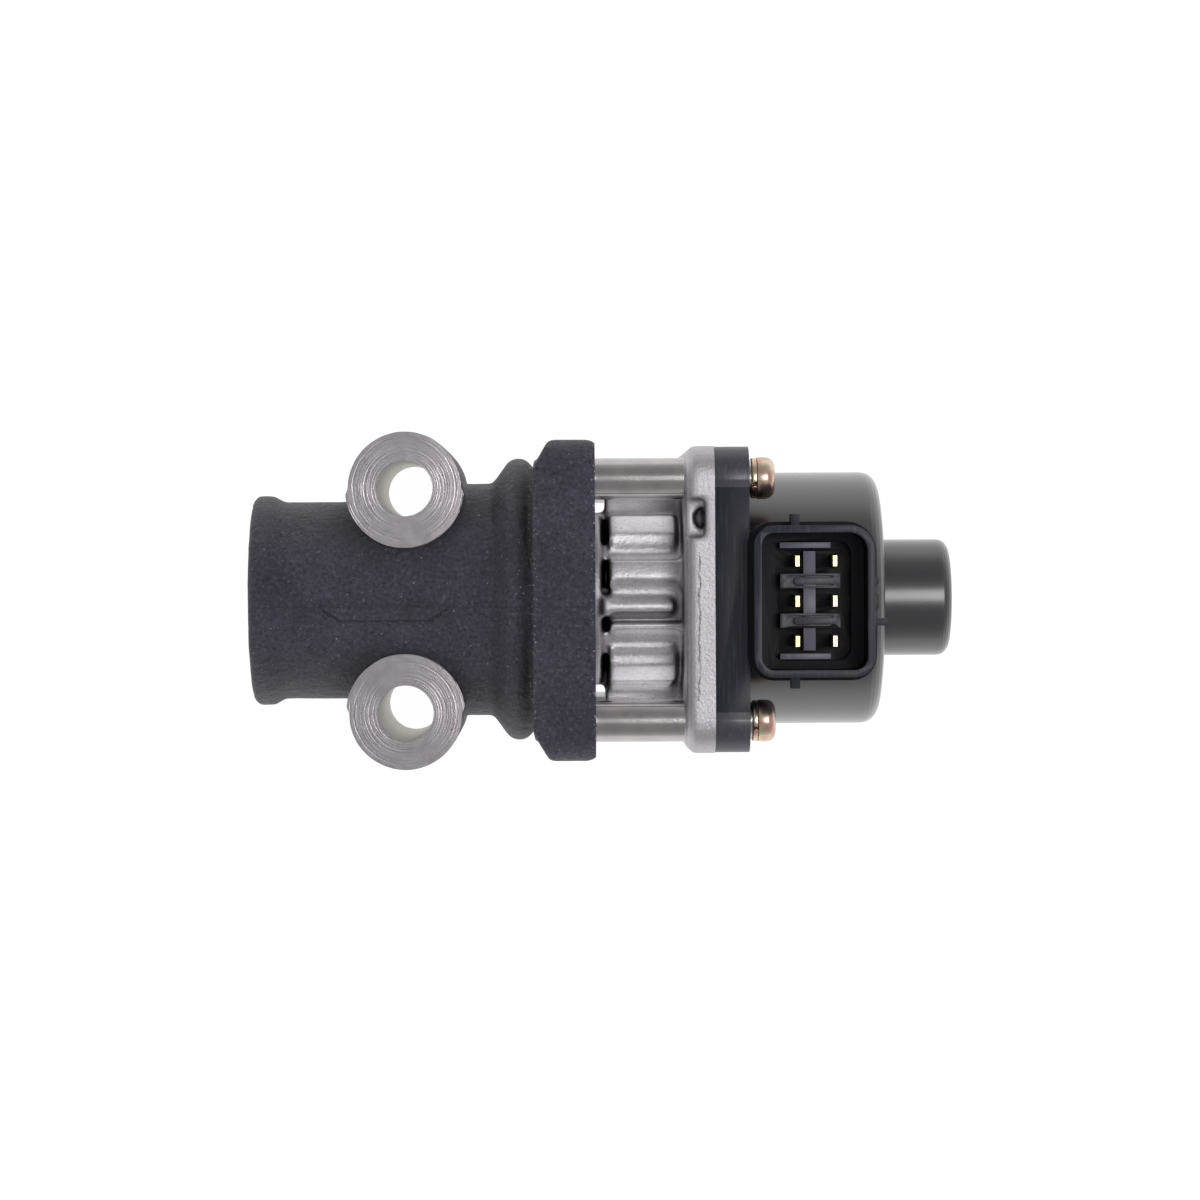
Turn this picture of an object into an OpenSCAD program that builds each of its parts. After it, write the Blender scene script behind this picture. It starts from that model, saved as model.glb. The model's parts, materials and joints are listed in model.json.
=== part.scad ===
// Exhaust gas recirculation valve with a stepper motor.
// The valve axis runs along X. The gasket face lies at z = 0, centred on the two mounting bolts.

/* [Body casting] */
// Length of the casting from the bolt plane to its open end
left_len = 25.2; // [24:0.1:32]
// Outer radius of the left barrel
barrel_r = 16.2; // [15.4:0.1:16.8]
// Height of the rim at the open end above the barrel
rim_proud = 1; // [0.7:0.1:1.8]
// Length of the rim
rim_len = 3.1; // [2:0.1:4]
// Length of the taper from the rim to the barrel
rim_taper = 1.8; // [1:0.1:2.5]
// Edge break of the rim
rim_edge = 0.7; // [0.3:0.1:1]
// Outer radius of the neck beside the flange
neck_r = 19.05; // [18.6:0.05:20]
// Distance from the bolt plane to where the neck ends
neck_end = 13.9; // [13:0.1:14.4]
// Outer radius of the bead between neck and flange
bead_r = 23.2; // [22.6:0.1:24]
// Radius of the bead's round section
bead_sec_r = 2.5; // [2.1:0.05:2.6]
// Height of the raised pad on the barrel
pad_h = 0.45; // [0.3:0.05:0.8]
// Length of the raised pad
pad_len = 20.9; // [16:0.1:22]
// Width of the raised pad
pad_w = 2.3; // [1.6:0.1:4]

/* [Motor flange of the casting] */
// Distance from the bolt plane to the flange's left face
flange_x = 20.6; // [20.2:0.1:21.4]
// Distance from the motor screws to the sides of the square flange
flange_margin = 6.25; // [5.6:0.05:8.4]
// Clearance between the flange's underside and the gasket face
flange_clear = 2.4; // [0.5:0.05:6]
// Thickness of the flange
flange_t = 9.9; // [9.4:0.1:13]
// Corner radius of the flange
flange_corner_r = 4.5; // [3:0.1:6]
// Depth of the flange's side chamfers along the axis
flange_cham_x = 2.6; // [2:0.1:4]
// Width of the flange's side chamfers
flange_cham_y = 4.6; // [3:0.1:6]
// Rounding of the flange's edges
flange_edge_r = 1.2; // [0.6:0.1:1.6]

/* [Mounting foot] */
// Distance between the two mounting bolts
bolt_pitch = 36.2; // [35.6:0.1:38]
// Radius of the mounting bolt holes
bolt_r = 4.5; // [4:0.05:4.7]
// Radius of the cast bolt bosses
boss_r = 9.1; // [8.6:0.05:9.4]
// Radius of the machined face on each boss
spot_r = 9.6; // [9.5:0.05:10.2]
// Height of the machined boss faces above the valve axis
boss_rise = 15.5; // [14.6:0.1:16.4]
// Thickness of the foot plate
foot_t = 9; // [7:0.1:11]
// Length of the foot along the axis
foot_len = 37; // [35:0.1:38]
// Width of the foot between the bosses
foot_w = 28; // [25:0.1:30]
// Corner radius of the foot
foot_corner_r = 5; // [3:0.1:7]
// Width of the neck between foot and barrel
duct_w = 22; // [19:0.1:24]
// Radius of the two gas ports
port_r = 5.5; // [4.5:0.05:5.6]
// Distance of each gas port from the bolt plane
port_x = 9; // [8.9:0.05:9.2]

/* [Bores of the casting] */
// Wall of the barrel around the gas chambers
chamber_wall = 4.2; // [3.8:0.05:4.8]
// Thickness of the wall between the chambers
web_t = 6; // [5.6:0.1:6.2]
// End of the right chamber, from the bolt plane
chamber_end = 15.5; // [15:0.1:16.6]
// Wall of the barrel around the end plug
plug_wall = 2.7; // [2.2:0.05:3.2]
// Depth of the bore for the end plug
plug_bore_len = 5.4; // [5:0.1:6]
// Length of the stem bush
bush_len = 11.5; // [9:0.1:12]
// Outer radius of the stem bush
bush_r = 5; // [4:0.1:6]
// Radius of the stem seal
seal_r = 6.6; // [6.2:0.1:8]

/* [Valve train] */
// Radius of the valve stem
stem_r = 2.5; // [2.2:0.05:3]
// Radius of the throat in the seat
throat_r = 6.3; // [5.5:0.05:6.8]
// Outer radius of the seat ring
seat_r = 8.6; // [8.3:0.05:9]
// Length of the seat ring
seat_len = 5; // [4.5:0.1:5.2]
// Width of the seat's chamfer
seat_cham = 1.2; // [1:0.05:1.4]
// Radius of the valve head
head_r = 7.9; // [7.75:0.05:8.3]
// Thickness of the valve head's rim
head_rim = 1.6; // [1:0.1:2.5]
// Lift of the valve at full opening
lift = 4.33; // [3:0.01:4.6]
// Radius of the spring holder
spring_holder_r = 10.9; // [10.4:0.05:11]
// Thickness of the spring holder's sheet
spring_holder_t = 1.2; // [1:0.05:1.5]
// Mean radius of the return spring's coils
spring_r = 8.6; // [8:0.05:9]
// Radius of the spring wire
wire_r = 0.7; // [0.5:0.05:0.8]
// Number of turns of the return spring
spring_turns = 4.5; // [3.5:0.5:5]

/* [Motor holder] */
// Distance between the casting's flange and the holder plate
stand_off = 14.4; // [14:0.1:17]
// Thickness of the holder's plate
plate_t = 4.6; // [4.2:0.1:6]
// Distance from the motor screws to the sides of the holder's plate
plate_margin = 5.2; // [4.9:0.05:6.9]
// Corner radius of the holder's plate
plate_corner_r = 5.2; // [4:0.1:6]
// Bevel on the left edge of the plate
plate_bevel = 0.8; // [0.4:0.1:1.2]
// Radius over the holder's ribs
rib_r = 15.2; // [14.8:0.05:15.8]
// Rounding of the ribs' edges
rib_edge_r = 1.4; // [0.6:0.05:1.6]
// Radius of the holder's barrel between the ribs
holder_r = 13.5; // [13.2:0.05:14]
// Radius of the holder's foot disc
disc_r = 14.2; // [13.8:0.05:14.5]
// Thickness of the holder's foot disc
disc_t = 1.2; // [1:0.05:1.5]
// Width of the slots beside the foot disc
slot_w = 1.2; // [0.8:0.05:1.6]
// Half width of the holder's side walls
side_w = 17; // [16:0.1:18]
// Height of the holder's side walls
side_h = 7; // [5:0.1:12]
// Radius of the spring chamber in the holder
holder_bore_r = 11.6; // [11.5:0.05:12]
// Width of the notch in the plate's upper side
notch_w = 6.2; // [5:0.1:7]
// Depth of the notch along the axis
notch_len = 3.1; // [1.8:0.1:3.4]
// Depth of the notch into the plate
notch_h = 2.4; // [1.5:0.1:3.5]
// Place of the notch beside the valve axis
notch_y = 13; // [12:0.1:13.5]
// Radius of the vent hole in the notch
vent_r = 1.8; // [1:0.05:2]

/* [Fasteners] */
// Distance between neighbouring motor screws
screw_pitch = 38.7; // [38:0.1:39.4]
// Radius of the screw shank
screw_r = 2; // [1.8:0.05:2.1]
// Outer radius of the spacer tubes
tube_r = 3.3; // [2.8:0.05:3.5]
// Radius of the holes for the screws
screw_hole_r = 2.2; // [2.15:0.05:2.4]
// Depth of the threaded holes in the casting
thread_depth = 8.6; // [7:0.1:9]
// Radius of the screw heads
screw_head_r = 3.35; // [3:0.05:3.6]
// Height of the screw heads
screw_head_h = 2.8; // [2:0.1:3.2]
// Outer radius of the lock washers
washer_r = 3.25; // [3:0.05:3.6]
// Thickness of the lock washers
washer_t = 1; // [0.6:0.05:1.2]
// Outer radius of the limiter sleeves
sleeve_r = 2.95; // [2.8:0.05:3.2]
// Height of a limiter sleeve above the motor flange
sleeve_proud = 0.4; // [0.1:0.05:0.8]

/* [Motor] */
// Thickness of the motor's flange
motor_flange_t = 5.5; // [5.4:0.1:6.6]
// Radius of the motor flange's corner ears
ear_r = 5.05; // [4.7:0.05:6.4]
// Step between the flange's corner ears and its flat sides
ear_step = 0.5; // [0.2:0.05:0.8]
// Clearance between the motor can and the screw heads
can_clear = 3.35; // [2.9:0.05:3.8]
// Length of the wide part of the can
can_len = 22; // [21.2:0.1:24]
// Wall thickness of the can
can_wall = 1; // [0.8:0.05:1.1]
// Outer radius of the can's end cap
cap_r = 9.55; // [9.3:0.05:11]
// Length of the end cap
cap_len = 11.8; // [11:0.1:14]
// Fillet of the can's shoulder
can_fillet = 2.75; // [2:0.05:3]
// Fillet of the end cap
cap_fillet = 1.9; // [1.2:0.05:2.2]
// Radius of the rotor magnet
magnet_r = 10.6; // [10.2:0.05:10.7]
// Length of the rotor magnet
magnet_len = 17; // [15:0.1:17.4]
// Radius of the rotor hub inside the magnet
hub_r = 6; // [5.5:0.05:7]
// Radius of the rotor's journals
journal_r = 4; // [3.9:0.05:4.4]
// Radius of the lead screw
lead_screw_r = 3; // [2.6:0.05:3.2]
// Width across the lead screw's two flats
flats_w = 4.6; // [4:0.1:5]
// Outer radius of the front bearing
bearing_r = 8; // [7.6:0.05:8.4]
// Width of the front bearing
bearing_w = 4; // [3.6:0.05:4.1]
// Number of balls in the front bearing
balls = 7; // [6:1:8]
// Number of teeth on each pole plate
teeth = 6; // [4:1:6]
// Length of one coil
coil_len = 9.1; // [8.8:0.05:9.2]

/* [Connector] */
// Length of the connector collar along the axis
collar_len = 18.9; // [18.6:0.1:20]
// Width of the connector collar
collar_w = 23.8; // [23.4:0.1:25]
// Wall thickness of the collar
collar_wall = 1.15; // [0.9:0.05:1.3]
// Height of the collar's mouth above the motor can
collar_rise = 12.4; // [10.4:0.1:15.4]
// Depth of the socket from its mouth to the ledge
socket_depth = 8; // [7:0.1:8.4]
// Depth of the pocket below the ledge
pocket_depth = 2.5; // [2:0.1:2.8]
// Spacing of the pins across the axis
pin_pitch = 6.3; // [6:0.05:6.4]
// Distance between the two rows of pins
pin_row_pitch = 5.9; // [5.4:0.05:6.2]
// Width of a pin
pin_w = 2; // [1.2:0.05:2.2]
// Thickness of a pin
pin_t = 0.64; // [0.5:0.02:0.8]
// Height of the pins above the pocket floor
pin_h = 7.5; // [6:0.1:8.5]

/* [Hidden] */
$fn = 48;
cut = 0.5;
fit = 0.05;
arc_steps = 6;

// Sizes that follow the barrel
rim_r = barrel_r + rim_proud;
chamber_r = barrel_r - chamber_wall;
plug_bore_r = barrel_r - plug_wall;

// Sizes that follow the motor screws
diagonal_share = sqrt(0.5);
flange_w = screw_pitch + 2 * flange_margin;
plate_w = screw_pitch + 2 * plate_margin;
motor_flange_w = screw_pitch + 2 * ear_r;
can_r = screw_pitch * diagonal_share - screw_head_r - can_clear;
axis_h = flange_w / 2 + flange_clear;
boss_h = axis_h + boss_rise;
collar_h = can_r + collar_rise;

// Places along the axis
flange_r_x = flange_x + flange_t;
plate_x = flange_r_x + stand_off;
motor_x = plate_x + plate_t;
can_x = motor_x + motor_flange_t;
shoulder_x = can_x + can_len;
end_x = shoulder_x + cap_len;
sleeve_end = can_x + sleeve_proud;
head_x = sleeve_end + washer_t;

// Casting details
pad_y = -1.95;
pad_mid_x = -3.25;
pad_end = 3.6;
swell_share = 0.36;
shoulder_inset = 0.8;
bead_x = flange_x - bead_sec_r + fit;
bead_root = bead_r - bead_sec_r;
bead_lean_share = 0.72;
seat_shoulder_r = throat_r + (seat_r - throat_r) / 2;
seat_x = -web_t / 2;
seal_x = chamber_end + bush_len;
seal_lip = 1;
plug_sheet = 1.2;
plug_bend_r = 1.5;
plug_inset = 0.8;
screw_root = flange_r_x - thread_depth;

// Valve train details
seat_gap = 0.1;
head_edge = 0.4;
head_cone_r = head_r - throat_r;
stem_cone = 3.2;
spring_seat_x = flange_r_x + disc_t;
spring_gap = 0.05;
holder_recess = 0.6;
holder_face_x = plate_x + holder_recess;
holder_back_x = holder_face_x + spring_holder_t;
spring_len = holder_face_x - spring_seat_x - 2 * spring_gap;
neck_pin_r = 1.8;
collar_hub_r = 4.2;
collar_hub_len = 2.6;
holder_rim_len = 2.2;
holder_hole_r = 4.4;
end_turn_share = 0.16;
end_rise_share = 2.2;
wire_sides = 8;
rings_per_turn = 24;

// Ribs of the holder, as shares of the rib radius across the axis
rib_shares = [[0.5, 0.99], [0.1, 0.45], [-0.19, 0.04], [-0.34, -0.24], [-0.97, -0.47]];
// Left ends of the ribs, as shares of the slot width
rib_start_shares = [1, 1, 0, 1, 1];
// Right ends of the ribs, as shares of the stand-off
rib_end_shares = [0.93, 1, 0.9, 1, 0.93];
// Slots beside the foot disc, as shares of the rib radius across the axis
slot_shares = [[0.57, 0.85], [0.04, 0.42], [-0.34, -0.17], [-0.97, -0.56]];
rib_tip_r = 2.2;
rib_tip_share = 3.2;
rib_edge_share = 0.45;
side_gap = 0.6;

// Fastener details
slot_w_share = 0.25;
slot_len_share = 1.1;
slot_deep_share = 0.5;
head_round_share = 0.55;
washer_split = 0.5;
split_angle = 200;

// Motor details
ear_slope_share = 3;
stator_gap = 0.05;
plate_sheet = 0.8;
guide_t = 1.4;
guide_r = 9.5;
o_ring_r = 14;
o_ring_sec_r = 0.75;
o_ring_width = 1.7;
bearing_x = motor_x + guide_t;
spigot_len = 0.8;
spigot_r = can_r - can_wall - fit;
stator_x = can_x + spigot_len;
air_gap = 0.4;
stator_bore_r = magnet_r + air_gap;
tooth_t = 0.8;
tooth_share = 0.6;
bobbin_r = stator_bore_r + tooth_t + fit;
bobbin_wall = 0.8;
bobbin_gap = 1.15;
bobbin_flange_r = spigot_r - bobbin_gap;
bobbin_lip = 0.8;
winding_r = bobbin_flange_r - bobbin_lip;
hub_bore_r = 7.4;
magnet_inset = 1;
magnet_x = stator_x + magnet_inset;
hub_play = 0.2;
hub_front = bearing_x + hub_play;
hub_collar = 0.6;
hub_collar_r = 7;
hub_rear = magnet_x + magnet_len;
bush_x = shoulder_x - can_wall / 2;
rear_bush_len = 6.6;
rear_bush_r = cap_r - can_wall - fit;
preload_t = 0.4;
preload_r = 6;
hub_tail = bush_x + rear_bush_len;
screw_tip_x = holder_back_x + fit;
screw_overhang = 4.5;
lead_screw_end = hub_rear + screw_overhang;
flats_runout = 1.9;
flats_len = bearing_x - screw_tip_x + lift + flats_runout;
inner_ring_r = 5.3;
outer_ring_r = 6.8;
ball_orbit_r = (outer_ring_r + inner_ring_r) / 2;
ball_share = 0.2;
ball_r = ball_orbit_r * ball_share;

// Connector details
collar_inset = 0.2;
collar_x = can_x + collar_inset;
collar_y = -0.2;
collar_corner_r = 3.2;
far_corner_share = 1.25;
far_inner_share = 1.4;
base_rise = 7.4;
base_h = can_r + base_rise;
base_grow = 0.6;
can_gap = 0.3;
ledge_x = 2;
ledge_y = 1.3;
socket_x0 = collar_x + collar_wall;
socket_len = collar_len - 2 * collar_wall;
socket_w = collar_w - 2 * collar_wall;
floor_z = collar_h - socket_depth - pocket_depth;
pin_inset = 9.9;
pin_x = collar_x + pin_inset;
pin_root = 1.2;
pin_tip_share = 0.5;
bar_len = 9.5;
bar_w = 2.3;
bar_h = 3;
bar_inset = 4.5;
bar_x = collar_x + bar_inset;
ridge_w = 1.1;
ridge_h = 0.7;
ridge_inset = 2.2;
ridge_len = 6.75;
groove_w = 1.7;
cross_inset = 8.2;
cross_x = collar_x + cross_inset;
cross_w = 1.9;
cross_len = 15.7;
cross_h = 2.6;
step_w = 2.6;
step_h = 1.6;
ledge_bar_w = 0.9;
ledge_bar_len = 8;
ledge_bar_y = 8.8;
tab_w = 1.3;
tab_proud = 1.5;
tab_inset = 6.55;
tab_x = collar_x + tab_inset;
tab_h = 5;
tab_drop = 1.5;
lock_rib_len = 2;
lock_rib_w = 1.1;
lock_rib_y = -3.5;
lock_step_len = 0.7;
lock_step_w = 2.2;
lock_hook_w = 1;
lock_hook_y = 3;

// Corner arcs of a closed outline, one radius for each corner
function unit(v) = v / norm(v);
function turn(a, b) = (b - a + 540) % 360 - 180;
function corner_arc(p, a, b, r) =
  let (
    u = unit(a - p),
    v = unit(b - p),
    half = acos(u * v) / 2,
    c = p + unit(u + v) * r / sin(half),
    s = p + u * r / tan(half) - c,
    e = p + v * r / tan(half) - c,
    a0 = atan2(s.y, s.x),
    sweep = turn(a0, atan2(e.y, e.x))
  )
  [for (k = [0:arc_steps]) c + r * [cos(a0 + sweep * k / arc_steps), sin(a0 + sweep * k / arc_steps)]];
function rounded(pts, radii) =
  let (n = len(pts))
  [for (i = [0:n - 1])
    for (q = radii[i] == 0 ? [pts[i]]
      : corner_arc(pts[i], pts[(i + n - 1) % n], pts[(i + 1) % n], radii[i])) q];
function box_points(x0, x1, y0, y1) = [[x0, y0], [x1, y0], [x1, y1], [x0, y1]];

// Local z runs along the valve axis from x, and local x points down
module on_axis(x) {
  translate([x, 0, axis_h]) rotate([0, 90, 0]) children();
}

// A round bar between two places on the axis
module bar(x0, x1, r) {
  on_axis(x0) cylinder(r = r, h = x1 - x0);
}

module ring(x0, x1, r_out, r_in) {
  difference() {
    bar(x0, x1, r_out);
    bar(x0 - cut, x1 + cut, r_in);
  }
}

module square_plate(w, corner) {
  polygon(rounded(box_points(-w / 2, w / 2, -w / 2, w / 2), [corner, corner, corner, corner]));
}

module at_screw(i) {
  side_y = i < 3 ? 1 : -1;
  side_z = i % 2 == 1 ? 1 : -1;
  translate([0, side_y * screw_pitch / 2, side_z * screw_pitch / 2]) children();
}

module at_screws() {
  for (i = [1:4]) at_screw(i) children();
}

// Outer form of the casting's barrel, raised by grow
module barrel_profile(grow) {
  polygon([
    [0, -left_len],
    [rim_r - rim_edge + grow, -left_len],
    [rim_r + grow, -left_len + rim_edge],
    [rim_r + grow, -left_len + rim_len],
    [barrel_r + grow, -left_len + rim_len + rim_taper],
    [barrel_r + grow, -left_len * swell_share],
    [neck_r + grow, left_len * swell_share],
    [neck_r + grow, neck_end],
    [bead_root + bead_sec_r * bead_lean_share, bead_x - bead_sec_r * bead_lean_share],
    [bead_root, bead_x],
    [bead_root, flange_x + flange_t / 2],
    [0, flange_x + flange_t / 2]
  ]);
}

module body_flange() {
  half = flange_w / 2;
  intersection() {
    translate([0, 0, axis_h - half - cut])
      linear_extrude(flange_w + 2 * cut)
        polygon(rounded(
          [
            [flange_x, half - flange_cham_y],
            [flange_x + flange_cham_x, half],
            [flange_r_x, half],
            [flange_r_x, -half],
            [flange_x + flange_cham_x, -half],
            [flange_x, flange_cham_y - half]
          ],
          [flange_edge_r, flange_edge_r, flange_edge_r, flange_edge_r, flange_edge_r, flange_edge_r]
        ));
    on_axis(flange_x - cut) linear_extrude(flange_t + 2 * cut) square_plate(flange_w, flange_corner_r);
  }
}

module at_bolts() {
  for (side = [-1, 1]) translate([0, side * bolt_pitch / 2, 0]) children();
}

module foot() {
  linear_extrude(foot_t) {
    at_bolts() circle(r = boss_r);
    square([2 * boss_r, bolt_pitch], center = true);
    polygon(rounded(
      box_points(-foot_len / 2, foot_len / 2, -foot_w / 2, foot_w / 2),
      [foot_corner_r, foot_corner_r, foot_corner_r, foot_corner_r]
    ));
  }
  duct_len = foot_len - foot_corner_r / 2;
  linear_extrude(axis_h)
    polygon(rounded(
      box_points(-duct_len / 2, duct_len / 2, -duct_w / 2, duct_w / 2),
      [foot_corner_r, foot_corner_r, foot_corner_r, foot_corner_r]
    ));
}

// Each boss widens to its machined face where it grows out of the barrel
module boss_shoulders() {
  intersection() {
    at_bolts() cylinder(r = spot_r, h = boss_h);
    cube([2 * spot_r + cut, bolt_pitch - 2 * shoulder_inset, 2 * boss_h + cut], center = true);
  }
}

module label_pad() {
  intersection() {
    on_axis(0) rotate_extrude() barrel_profile(pad_h);
    translate([pad_mid_x, pad_y, axis_h])
      linear_extrude(barrel_r + rim_r)
        polygon([
          [-pad_len / 2, pad_w / 2],
          [pad_len / 2, pad_w / 2],
          [pad_len / 2 - pad_end, -pad_w / 2],
          [pad_end - pad_len / 2, -pad_w / 2]
        ]);
  }
}

module valve_body() {
  color("#3d3d45") difference() {
    union() {
      on_axis(0) rotate_extrude() {
        barrel_profile(0);
        translate([bead_root, bead_x]) circle(r = bead_sec_r);
      }
      body_flange();
      foot();
      at_bolts() cylinder(r = boss_r, h = boss_h);
      boss_shoulders();
      label_pad();
    }
    at_bolts() {
      translate([0, 0, boss_h]) cylinder(r = spot_r, h = boss_h);
      translate([0, 0, -cut]) cylinder(r = bolt_r, h = boss_h + 2 * cut);
    }
    for (side = [-1, 1])
      translate([side * port_x, 0, -cut]) cylinder(r = port_r, h = axis_h + cut);
    bar(-left_len - cut, -left_len + plug_bore_len, plug_bore_r);
    bar(-left_len, seat_x, chamber_r);
    bar(seat_x - cut, seat_x + seat_len, seat_r);
    bar(seat_x, web_t, seat_shoulder_r);
    bar(web_t / 2, chamber_end, chamber_r);
    bar(chamber_end - cut, seal_x + cut, bush_r);
    bar(seal_x, flange_r_x + cut, seal_r);
    at_screws() bar(screw_root, flange_r_x + cut, screw_r + fit);
  }
}

// Pressed sheet cup that closes the left chamber
module end_plug() {
  plug_r = plug_bore_r - fit;
  deep = plug_bore_len - plug_inset;
  color("#9a9a98") on_axis(-left_len + plug_inset) rotate_extrude()
    polygon(rounded(
      [
        [0, deep - plug_sheet], [plug_r - plug_sheet, deep - plug_sheet], [plug_r - plug_sheet, 0],
        [plug_r, 0], [plug_r, deep], [0, deep]
      ],
      [0, plug_bend_r - plug_sheet, 0, 0, plug_bend_r, 0]
    ));
}

module valve_seat() {
  color("#8a8a88") on_axis(seat_x) rotate_extrude()
    polygon([
      [throat_r + seat_cham, 0],
      [seat_r - fit, 0],
      [seat_r - fit, seat_len],
      [throat_r, seat_len],
      [throat_r, seat_cham]
    ]);
}

// Valve head, stem and the rivet pin that carries the spring holder
module pintle_valve() {
  cone_x = seat_x + seat_cham - seat_gap;
  color("#77757a") on_axis(0) rotate_extrude()
    polygon([
      [0, cone_x - head_cone_r - head_rim],
      [head_r - head_edge, cone_x - head_cone_r - head_rim],
      [head_r, cone_x - head_cone_r - head_rim + head_edge],
      [head_r, cone_x - head_cone_r],
      [throat_r - head_edge, cone_x + head_edge],
      [stem_r, cone_x + head_edge + stem_cone],
      [stem_r, holder_face_x - collar_hub_len],
      [neck_pin_r, holder_face_x - collar_hub_len],
      [neck_pin_r, holder_back_x],
      [0, holder_back_x]
    ]);
}

module stem_bush() {
  color("#b08d57") ring(chamber_end, seal_x, bush_r - fit, stem_r + fit);
}

module stem_seal() {
  color("#20201f") difference() {
    bar(seal_x, flange_r_x - seal_lip, seal_r - fit);
    bar(seal_x - cut, flange_r_x, stem_r + fit);
    bar(seal_x + seal_lip, flange_r_x, seal_r - 2 * seal_lip);
  }
}

// Cross-section of one rib between two places across the axis, with rounded edges
module rib_section(y0, y1) {
  edge_r = min(rib_edge_r, (y1 - y0) * rib_edge_share);
  mid_r = rib_r - edge_r;
  z0 = sqrt(mid_r * mid_r - (y0 + edge_r) * (y0 + edge_r));
  z1 = sqrt(mid_r * mid_r - (y1 - edge_r) * (y1 - edge_r));
  on_axis(flange_r_x) linear_extrude(stand_off + cut) {
    polygon([[-z0, y0], [z0, y0], [z1, y1], [-z1, y1]]);
    for (side = [-1, 1]) {
      translate([side * z0, y0 + edge_r]) circle(r = edge_r);
      translate([side * z1, y1 - edge_r]) circle(r = edge_r);
    }
  }
  intersection() {
    bar(flange_r_x, plate_x + cut, rib_r);
    translate([flange_r_x, y0 + edge_r, axis_h - rib_r])
      cube([stand_off + cut, y1 - y0 - 2 * edge_r, 2 * rib_r]);
  }
}

module holder_ribs() {
  for (i = [0:len(rib_shares) - 1]) {
    y0 = rib_r * rib_shares[i][0];
    y1 = rib_r * rib_shares[i][1];
    rib_start = flange_r_x + disc_t + slot_w * rib_start_shares[i];
    rib_end = flange_r_x + stand_off * rib_end_shares[i];
    width_share = rib_shares[i][1] - rib_shares[i][0];
    tip = rib_end_shares[i] < 1 ? rib_tip_r * min(1, width_share * rib_tip_share) : 0;
    intersection() {
      rib_section(y0, y1);
      translate([0, 0, axis_h - rib_r])
        linear_extrude(2 * rib_r)
          polygon(rounded(
            box_points(rib_start, rib_end + (tip == 0 ? cut : 0), y0, y1),
            [0, tip, tip, 0]
          ));
    }
  }
}

module motor_holder() {
  color("#b5b2b5") difference() {
    union() {
      bar(flange_r_x, flange_r_x + disc_t, disc_r);
      bar(flange_r_x, plate_x + cut, holder_r);
      translate([flange_r_x + disc_t + side_gap, -side_w, axis_h - side_h / 2])
        cube([stand_off - disc_t - side_gap + cut, 2 * side_w, side_h]);
      holder_ribs();
      on_axis(plate_x + plate_bevel)
        linear_extrude(plate_t - plate_bevel) square_plate(plate_w, plate_corner_r);
      on_axis(plate_x)
        linear_extrude(plate_bevel + fit)
          square_plate(plate_w - 2 * plate_bevel, plate_corner_r - plate_bevel);
    }
    bar(flange_r_x - cut, plate_x, holder_hole_r);
    bar(spring_seat_x, motor_x + cut, holder_bore_r);
    for (s = slot_shares)
      translate([spring_seat_x, rib_r * s[0], axis_h])
        cube([slot_w, rib_r * (s[1] - s[0]), side_w]);
    at_screws() bar(plate_x - cut, motor_x + cut, screw_hole_r);
    translate([plate_x - cut, notch_y - notch_w / 2, axis_h + plate_w / 2 - notch_h])
      cube([notch_len + cut, notch_w, notch_h + cut]);
    intersection() {
      translate([plate_x + notch_len, notch_y, axis_h + side_w])
        cylinder(r = vent_r, h = plate_w / 2 - side_w);
      translate([plate_x - cut, notch_y - vent_r, axis_h])
        cube([notch_len + cut, 2 * vent_r, plate_w / 2]);
    }
  }
}

// Helical spring with closed end turns, swept as rings of the wire's section
function spring_place(t) =
  let (
    inner = spring_len - 2 * wire_r,
    e = end_turn_share,
    rise = end_rise_share * wire_r / inner,
    s = t < e ? rise * t / e
      : t > 1 - e ? 1 - rise * (1 - t) / e
      : rise + (1 - 2 * rise) * (t - e) / (1 - 2 * e)
  )
  wire_r + inner * s;

module return_spring() {
  count = round(spring_turns * rings_per_turn);
  pts = [
    for (i = [0:count])
      let (t = i / count, a = 360 * spring_turns * t, z = spring_place(t))
      for (k = [0:wire_sides - 1])
        let (b = 360 * k / wire_sides, r = spring_r + wire_r * cos(b))
        [r * cos(a), r * sin(a), z + wire_r * sin(b)]
  ];
  sides = [
    for (i = [0:count - 1])
      for (k = [0:wire_sides - 1])
        let (n = (k + 1) % wire_sides)
        [i * wire_sides + k, i * wire_sides + n, (i + 1) * wire_sides + n, (i + 1) * wire_sides + k]
  ];
  first = [for (k = [wire_sides - 1:-1:0]) k];
  last = [for (k = [0:wire_sides - 1]) count * wire_sides + k];
  color("#8d8d90") on_axis(spring_seat_x + spring_gap)
    polyhedron(points = pts, faces = concat([first, last], sides), convexity = 8);
}

// Pressed steel plate that the spring pushes against
module spring_holder() {
  color("#a5a39a") difference() {
    union() {
      bar(holder_face_x, holder_back_x, spring_holder_r);
      bar(holder_face_x - collar_hub_len, holder_back_x, collar_hub_r);
      ring(holder_face_x - holder_rim_len, holder_back_x, spring_holder_r, spring_holder_r - spring_holder_t);
    }
    bar(plate_x - stand_off, end_x, neck_pin_r + fit);
  }
}

module spacer_tube(i) {
  color("#b9b4a6") at_screw(i) ring(flange_r_x, plate_x, tube_r, screw_hole_r);
}

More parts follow.
